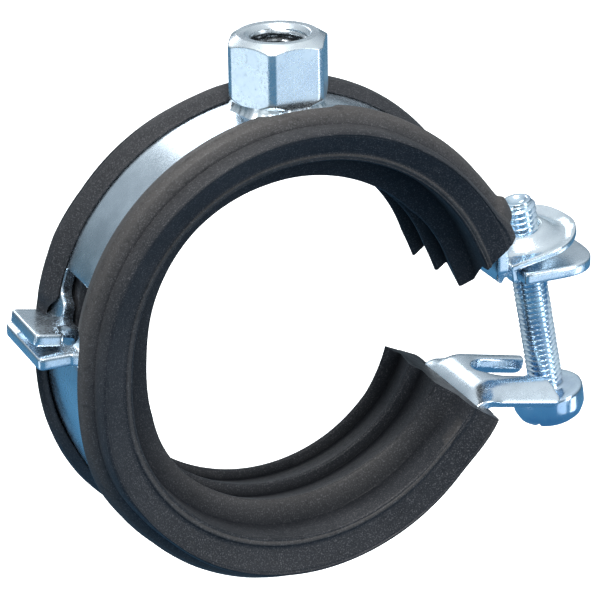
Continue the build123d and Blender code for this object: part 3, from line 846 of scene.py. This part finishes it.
def lining_profile(lip_y, pocket, front_extra=0.0):
    """(r, y) corners with radii, from the lip on the front, round the front face, over the ribs, to the back lip, along the web behind the strip."""
    P = [
        (lip_in, -lip_y, 0.25), (lip_in + 0.30, -lip_y + 0.02, 0.25),
        (min(38.75, lip_in + 0.3 + 0.5 * max(0.6, 7.9 - lip_y)), min(-7.6, -lip_y - 0.9), 1.6),
        (39.1, -9.3, 1.2), (38.3, -10.5, 0.8),
        (37.0, -11.35, 0.35), (36.42, -11.52, 0.08), (36.88, -11.85, 0.2),
        (36.75, -13.4, 0.5), (36.35, -14.45, 0.3), (35.95, -14.72, 0.12), (35.8, -14.45, 0.1), (35.5, -14.42, 0.2),
        (32.75, -12.75, 0.8), (32.5, -12.75, 0.12), (32.3, -12.95, 0.25), (32.05, -12.80, 0.15), (31.95, -12.62, 0.1), (31.75, -12.7, 0.2), (31.55, -12.3, 0.4),
        (31.5, -10.2, 0.3), (31.4, -7.35, 0.5),
        (27.95, -5.2, 0.25), (27.75, -4.75, 0.2), (27.8, -4.3, 0.3),
        (30.1, 1.65, 0.25), (27.95, 2.2, 0.2), (27.75, 2.65, 0.2), (27.8, 3.1, 0.3),
        (30.1, 8.95, 0.25), (27.95, 9.5, 0.2), (27.75, 9.95, 0.2), (27.85, 10.4, 0.3),
        (31.4, 12.25, 0.5), (31.75, 12.75, 0.3), (32.1, 12.8, 0.2),
        (35.8, 14.45, 0.3), (36.3, 14.7, 0.3), (36.75, 14.4, 0.4), (36.9, 13.6, 0.4), (36.88, 11.85, 0.2), (36.42, 11.52, 0.08), (37.0, 11.35, 0.35),
        (38.3, 10.5, 0.8), (39.1, 9.3, 1.2), (min(38.75, lip_in + 0.3 + 0.5 * max(0.6, 7.9 - lip_y)), max(7.6, lip_y + 0.9), 1.6),
        (lip_in + 0.30, lip_y - 0.02, 0.25), (lip_in, lip_y, 0.25),
        (lip_in, side_y, 0.1), (web_r, side_y, 0.1),
        (web_r, 7.4, 0.1), (web_r - 0.5 * pocket, 7.0, 0.2), (web_r - 0.5 * pocket, 3.4, 0.2), (web_r - 1.5 * pocket, 3.0, 0.2),
        (web_r - 1.5 * pocket, -3.0, 0.2), (web_r - 0.5 * pocket, -3.4, 0.2), (web_r - 0.5 * pocket, -7.0, 0.2), (web_r, -7.4, 0.1),
        (web_r, -side_y, 0.1), (lip_in, -side_y, 0.1),
    ]
    q = round_poly([(a, b) for a, b, c in P], [c for a, b, c in P], 3, same_count=True)
    return q


base_prof = lining_profile(5.25, 0.0)
# equal number of points for every section: same corners, same segments
nprof = len(base_prof)


def lining_section(theta_deg):
    t = theta_deg
    lip = 5.25
    # lips open for the hook plate at the hinge
    notch = float(smooth(166.0, 171.6, t) * (1 - smooth(180.0, 214.0, t)))
    # the lips open for the boss
    if abs(t - 90) < 16:
        x = 37.6 * abs(math.sin(math.radians(t - 90)))
        if x < 8.5:
            lip = max(lip, math.sqrt(8.5 ** 2 - x ** 2) + 0.05)
    lip = lip + (8.45 - lip) * notch if t > 120 else lip
    pocket = float(smooth(159.5, 160.3, t) * (1 - smooth(184.0, 188.0, t)))
    return lining_profile(lip, pocket)


def path(theta_deg, rr, yy):
    """Point of the lining at angle, radius for the upper half, y."""
    t = math.radians(theta_deg)
    k = float(smooth(163.0, 197.0, theta_deg))
    cx, cz = LC[0] * k, LC[1] * k
    r = rr - LDR * k
    return cx + r * math.cos(t), yy, cz + r * math.sin(t)


# end planes: upper end through two points, lower end through two points
LE0, LE1 = np.array([23.8, -13.3]), np.array([33.9, -19.35])
# how far the free-standing rubber bulges inward: angle, front crest, back crest, front lip
BULGE = np.array([[0, -2.9, -1.3, -0.6], [8, -2.4, -1.0, -0.5], [20, -0.9, 0.35, 0.1], [40, 0.8, 0.9, 0.35], [54, 1.15, 0.9, 0.4], [76, 1.5, 0.9, 0.4],
                  [100, 1.75, 0.9, 0.4], [130, 1.7, 0.9, 0.5], [150, 2.0, 1.0, 0.6], [177, 2.3, 1.2, 0.75], [196, 2.25, 0.9, 0.95], [208, 1.6, 0.2, 1.0],
                  [225, 1.0, -0.1, 1.0], [250, 0.8, -0.1, 1.0], [272, 0.7, -0.2, 1.0], [300, 0.2, -0.3, 0.7], [320, -0.9, -0.2, 0.3], [340, -2.0, 0.75, 0.0]])
RIM = np.array([[0, 1.3, 0.3], [16, 1.1, 0.4], [26, 0.1, 0.4], [38, -0.4, 0.4], [60, -0.4, 0.4], [75, 0, 0.3], [90, 0, 0], [110, 0, -0.35], [142, 0, -0.2], [155, 0, 0.4], [205, 0, 0.4], [214, -0.4, 0.35],
                [226, -0.6, 0.0], [240, -0.2, 0], [254, 0.05, 0], [272, 0.08, 0], [292, 0, 0], [340, 0, 0]])


def bulge(theta_deg, rr, yy):
    """Radius of a section point once the rubber's bulge and its flared lower end are added."""
    wi = float(smooth(33.7, 31.5, rr))
    wc = float(smooth(31.1, 28.4, rr))
    f = float(np.interp(theta_deg, BULGE[:, 0], BULGE[:, 1]))
    b = float(np.interp(theta_deg, BULGE[:, 0], BULGE[:, 2]))
    l = float(np.interp(theta_deg, BULGE[:, 0], BULGE[:, 3]))
    k = min(max((yy + 4.9) / 14.7, 0), 1)
    out = -wi * (l * (1 - wc) + wc * (f * (1 - k) + b * k))
    wo = float(smooth(35.4, 36.6, rr))
    out += wo * (float(np.interp(theta_deg, RIM[:, 0], RIM[:, 1])) * float(smooth(-5, -8, yy)) + float(np.interp(theta_deg, RIM[:, 0], RIM[:, 2])) * float(smooth(5, 8, yy)))
    flare = 1.35 * float(smooth(318, 340, theta_deg)) * (1 - wc)
    out += flare * max(float(smooth(-9.9, -11.3, yy)), wi * float(smooth(-3, -7, yy)))
    return rr + out


def end_angle_upper(rr, yy):
    """Angle at which the upper end's cut line meets radius rr."""
    ys = [-8.9, -7.1, -4.9, 2.5, 9.8, 13.0]
    q = np.array([np.interp(yy, ys, [33.0, 32.2, 30.3, 29.3, 28.8, 28.8]), np.interp(yy, ys, [10.6, 5.2, 2.9, 2.9, 3.3, 3.4])])
    d = np.array([np.interp(yy, ys, [0.568, 0.60, 0.64, 0.66, 0.68, 0.68]), np.interp(yy, ys, [0.823, 0.80, 0.77, 0.75, 0.73, 0.73])])
    d = d / np.linalg.norm(d)
    b = float(q @ d)
    c = float(q @ q) - rr * rr
    p = q + (-b + math.sqrt(max(b * b - c, 0))) * d
    return math.degrees(math.atan2(p[1], p[0]))


def end_angle_lower(rr, yy):
    d = (LE1 - LE0) / np.linalg.norm(LE1 - LE0)
    q = LE0 - np.array(LC)
    r = rr - LDR
    b = float(q @ d)
    c = float(q @ q) - r * r
    s = -b + math.sqrt(max(b * b - c, 0))
    p = q + s * d
    return math.degrees(math.atan2(p[1], p[0])) + 360


thetas = np.concatenate([np.linspace(0, 1, 5)[:-1] * 0.02, np.linspace(0.02, 0.98, 250), 1 - 0.02 + np.linspace(0, 1, 5)[1:] * 0.02])
S_list, along, around, painted_highlight = [], [], [], []
TH = []
nominal = 10 + (338.5 - 10) * thetas
# extra sections where the profile changes fast
extra = np.concatenate([np.arange(76, 104, 0.5), np.arange(158.5, 161.5, 0.3), np.arange(167, 182, 0.4)])
nominal = np.unique(np.round(np.concatenate([nominal, extra]), 3))
for k, tn in enumerate(nominal):
    sec = lining_section(tn)
    rowp = []
    lo_w = 1 - smooth(10, 34, tn)       # near the upper end, lean to the end plane
    hi_w = smooth(314, 338.5, tn)
    for (rr, yy) in sec:
        t = tn
        rr2 = rr = bulge(tn, rr, yy)
        if lo_w > 0:
            t = tn + (end_angle_upper(rr, yy) - 10) * float(lo_w)
        if hi_w > 0:
            t = tn + (end_angle_lower(rr, yy) - 338.5) * float(hi_w)
        rowp.append(path(t, rr2, yy))
    S_list.append(rowp)
S_arr = np.array(S_list)
nsec = len(S_arr)
V = S_arr.reshape(-1, 3)
F = grid_faces(nsec, nprof, close_m=True)
# end caps by triangulating the section
def cap(sec2, base, flip):
    vin = [Vector((float(a), float(b))) for a, b in sec2]
    e = [(i, (i + 1) % len(vin)) for i in range(len(vin))]
    vo, eo, fo, ov, oe, of = delaunay_2d_cdt(vin, e, [], 1, 1e-9)
    m = {}
    for new, olds in enumerate(ov):
        for o in olds:
            m[new] = o
    out = []
    for tri in fo:
        if all(i in m for i in tri):
            t3 = tuple(base + m[i] for i in tri)
            out.append(t3[::-1] if flip else t3)
    return out


F += cap(base_prof, 0, False)
F += cap(base_prof, (nsec - 1) * nprof, True)
rub = make("lining", V, F, M_rubber, angle=35, merge=0.0002)
me = rub.data
co = np.array([v.co for v in me.vertices]) / MM
tt_ = np.degrees(np.arctan2(co[:, 2], co[:, 0])) % 360
rr_ = np.hypot(co[:, 0], co[:, 2])
for nm, val in (("along", tt_), ("around", rr_ * 0.8 + co[:, 1] * 0.9)):
    a = me.attributes.new(nm, "FLOAT", "POINT")
    a.data.foreach_set("value", val.astype(np.float32))
kk_ = smooth(163, 197, tt_)
rn_ = np.hypot(co[:, 0] - LC[0] * kk_, co[:, 2] - LC[1] * kk_) + LDR * kk_
ky_ = np.clip((co[:, 1] + 4.9) / 14.7, 0, 1)
bf_ = np.interp(tt_, BULGE[:, 0], BULGE[:, 1]) * (1 - ky_) + np.interp(tt_, BULGE[:, 0], BULGE[:, 2]) * ky_
lip_ = np.interp(tt_, BULGE[:, 0], BULGE[:, 3])
# painted shade: the grooves between the ribs, the groove inside the front lip and the outer face of the back flange are
# painted darker
painted_shade_value = smooth(27.9, 29.4, rn_ + bf_) * (1 - smooth(31.5, 33, rn_)) * smooth(-4.4, -3.6, co[:, 1]) * (1 - smooth(9.2, 9.7, co[:, 1])) * 0.85
painted_shade_value = np.maximum(painted_shade_value, 0.6 * smooth(30.4, 31.3, rn_ + lip_) * (1 - smooth(31.9, 32.6, rn_ + lip_)) * smooth(-9.6, -8.4, co[:, 1]) * (1 - smooth(-7.0, -6.2, co[:, 1])))
painted_shade_value = np.maximum(painted_shade_value, 0.60 * smooth(9.5, 11.5, co[:, 1]) * smooth(35.6, 36.6, rn_))
a = me.attributes.new("painted_shade", "FLOAT", "POINT")
a.data.foreach_set("value", np.clip(painted_shade_value, 0, 1).astype(np.float32))
# painted highlight: the outer shoulder (strongest on the front side), the edge of the lip bead and the crests of the
# lower front ribs are painted paler
painted_shoulder_highlight = np.clip((rn_ - 36.2) / 2.0, 0, 1) * np.where(co[:, 1] < 0, 0.65, 0.10)
tn = np.clip(painted_shoulder_highlight + 0.45 * (np.abs(rn_ + lip_ - 32.3) < 0.40) * (co[:, 1] < -12.2), 0, 1)
tn = np.clip(tn + 0.40 * (1 - smooth(28.4, 30.2, rn_ + bf_)) * smooth(195, 225, tt_) * (1 - smooth(295, 325, tt_)) * (1 - smooth(-5.2, -4.2, co[:, 1])), 0, 1)
a = me.attributes.new("painted_highlight", "FLOAT", "POINT")
a.data.foreach_set("value", tn.astype(np.float32))
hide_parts("lining_upper", "lining_lower")
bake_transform(rub)

# ------------------------------------------------------------------ stage, camera, light
me = bpy.data.meshes.new("floor")
zf = -0.085
pts_ = []
rows_f = 40
prof_f = [(-1.6, zf), (-0.8, zf), (0.2, zf), (0.6, zf)]
for t in np.linspace(0, math.pi / 2, 20):
    prof_f.append((0.6 + 0.6 * math.sin(t), zf + 0.6 - 0.6 * math.cos(t)))
prof_f += [(1.2, 1.6), (1.2, 2.6)]
vv = [(x, y, z) for x in (-2.5, 2.5) for y, z in prof_f]
n = len(prof_f)
me.from_pydata(vv, [], [(i, i + 1, n + i + 1, n + i) for i in range(n - 1)])
for p in me.polygons:
    p.use_smooth = True
floor = bpy.data.objects.new("floor", me)
bpy.context.scene.collection.objects.link(floor)
mf, ntf, bf = nt_of("paper")
nz = nd(ntf, "ShaderNodeTexNoise", Scale=3.0, Detail=2.0)
cf = mix(ntf, (0.93, 0.935, 0.94), (0.96, 0.96, 0.96), nz.outputs[0])
ntf.links.new(cf, bf.inputs["Base Color"])
ntf.links.new(cf, bf.inputs["Emission Color"])
bf.inputs["Emission Strength"].default_value = 0.95
bf.inputs["Roughness"].default_value = 0.9
floor.data.materials.append(mf)
# white behind the object, without lighting it from below
floor.visible_diffuse = False
floor.visible_glossy = False
floor.visible_shadow = False

SC = 27.75
cf_, caz, cel, croll, cd, ccx, ccy = 2844.977, 0.412252, 0.389723, -0.015622, 16.71316, 0.100241, 0.116267
fwd = -np.array([-math.sin(caz) * math.cos(cel), -math.cos(caz) * math.cos(cel), math.sin(cel)])
rgt = np.cross(fwd, [0, 0, 1])
rgt /= np.linalg.norm(rgt)
upv = np.cross(rgt, fwd)
r2 = rgt * math.cos(croll) + upv * math.sin(croll)
u2 = -rgt * math.sin(croll) + upv * math.cos(croll)
cpos = (-fwd * cd + r2 * ccx + u2 * ccy) * SC * MM
cam = bpy.data.cameras.new("camera")
cam.sensor_width = 36
cam.sensor_fit = "HORIZONTAL"
cam.lens = cf_ / 600 * 36
cam.clip_start, cam.clip_end = 0.02, 20
co_ = bpy.data.objects.new("camera", cam)
M = Matrix((( r2[0], u2[0], -fwd[0], cpos[0]), (r2[1], u2[1], -fwd[1], cpos[1]), (r2[2], u2[2], -fwd[2], cpos[2]), (0, 0, 0, 1)))
co_.matrix_world = M
bpy.context.scene.collection.objects.link(co_)
bpy.context.scene.camera = co_


def area(name, loc, target, size, power, color=(1, 1, 1), size_y=None):
    l = bpy.data.lights.new(name, "AREA")
    l.energy = power
    l.color = color
    l.size = size
    if size_y:
        l.shape = "RECTANGLE"
        l.size_y = size_y
    o = bpy.data.objects.new(name, l)
    o.location = loc
    d = Vector(target) - Vector(loc)
    o.rotation_euler = d.to_track_quat("-Z", "Y").to_euler()
    bpy.context.scene.collection.objects.link(o)
    return o


area("key_top", (-0.16, -0.20, 0.56), (0, 0, 0), 0.30, 3.6, (1.0, 0.985, 0.965))
area("back", (0.03, 0.60, 0.34), (0, 0, 0.0), 0.22, 0.42, (1, 1, 1), 0.20)
area("left", (-0.60, -0.28, 0.14), (0, 0, 0), 0.14, 0.34, (0.95, 0.98, 1.0), 0.55)
area("right", (0.36, -0.40, 0.10), (0.02, 0, 0.0), 0.14, 0.95, (0.97, 0.98, 1.0), 0.50)
area("low_left", (-0.70, 0.08, -0.29), (0, 0, 0), 0.34, 0.42, (0.93, 0.97, 1.0))
area("low_front", (0.27, -0.62, -0.28), (0, 0, 0), 0.34, 0.26, (0.86, 0.92, 1.0))
area("low_right", (0.60, -0.30, -0.30), (0, 0, 0), 0.24, 0.36, (0.90, 0.95, 1.0))

w = bpy.data.worlds.new("world")
bpy.context.scene.world = w
w.use_nodes = True
wt = w.node_tree
wt.nodes.clear()
wo = wt.nodes.new("ShaderNodeOutputWorld")
bg = wt.nodes.new("ShaderNodeBackground")
tc = wt.nodes.new("ShaderNodeTexCoord")
sp = wt.nodes.new("ShaderNodeSeparateXYZ")
wt.links.new(tc.outputs["Generated"], sp.inputs[0])
mr = wt.nodes.new("ShaderNodeMath")
mr.operation = "MULTIPLY_ADD"
mr.inputs[1].default_value = 0.5
mr.inputs[2].default_value = 0.5
wt.links.new(sp.outputs[2], mr.inputs[0])
sky = ramp(wt, mr.outputs[0], [(0.0, (0.05, 0.17, 0.33)), (0.28, (0.09, 0.26, 0.44)), (0.42, (0.09, 0.18, 0.26)), (0.50, (0.12, 0.17, 0.20)), (0.60, (0.30, 0.35, 0.39)), (0.74, (0.55, 0.60, 0.64)), (1.0, (0.85, 0.88, 0.90))])
wt.links.new(sky, bg.inputs[0])
bg.inputs[1].default_value = 1.0
wt.links.new(bg.outputs[0], wo.inputs[0])
bpy.context.scene.view_settings.view_transform = "Standard"
